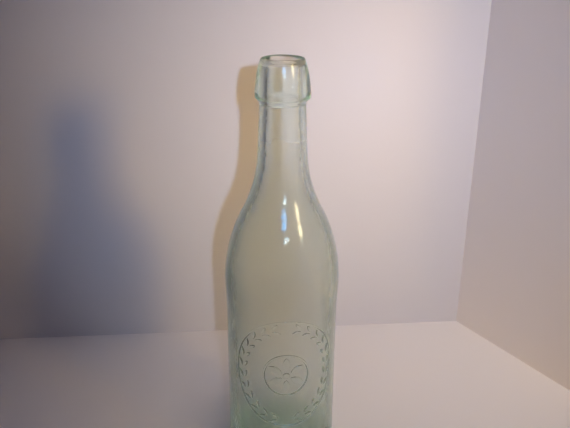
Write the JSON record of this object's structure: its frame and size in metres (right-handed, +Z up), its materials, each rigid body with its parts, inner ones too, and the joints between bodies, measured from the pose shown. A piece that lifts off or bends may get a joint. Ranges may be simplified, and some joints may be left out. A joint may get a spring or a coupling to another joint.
{
  "type": "glass soda bottle",
  "caption": "Mouth-blown pale aqua glass bottle with a sloping shoulder, an applied tapered lip round the cork's bore and a raised oval wreath panel on its front.",
  "frame": {"origin": "centre of the base, on the surface that the bottle stands on", "axes": "+Z up along the bottle's axis to the mouth, -Y towards the front with the raised panel, +X to the right as seen from the front"},
  "size_m": [0.065, 0.065, 0.235],
  "materials": {
    "body_glass": "fire-polished, slightly rippled, pale aqua",
    "lip_glass": "tooled, fire-polished, pale aqua",
    "raised_glass": "moulded relief with soft edges, pale aqua"
  },
  "bodies": {
    "root": {"bottle_body": "body_glass", "applied_lip": "lip_glass", "panel_line": "raised_glass", "panel_wreath": "raised_glass", "panel_rosette": "raised_glass"}
  },
  "joints": []
}
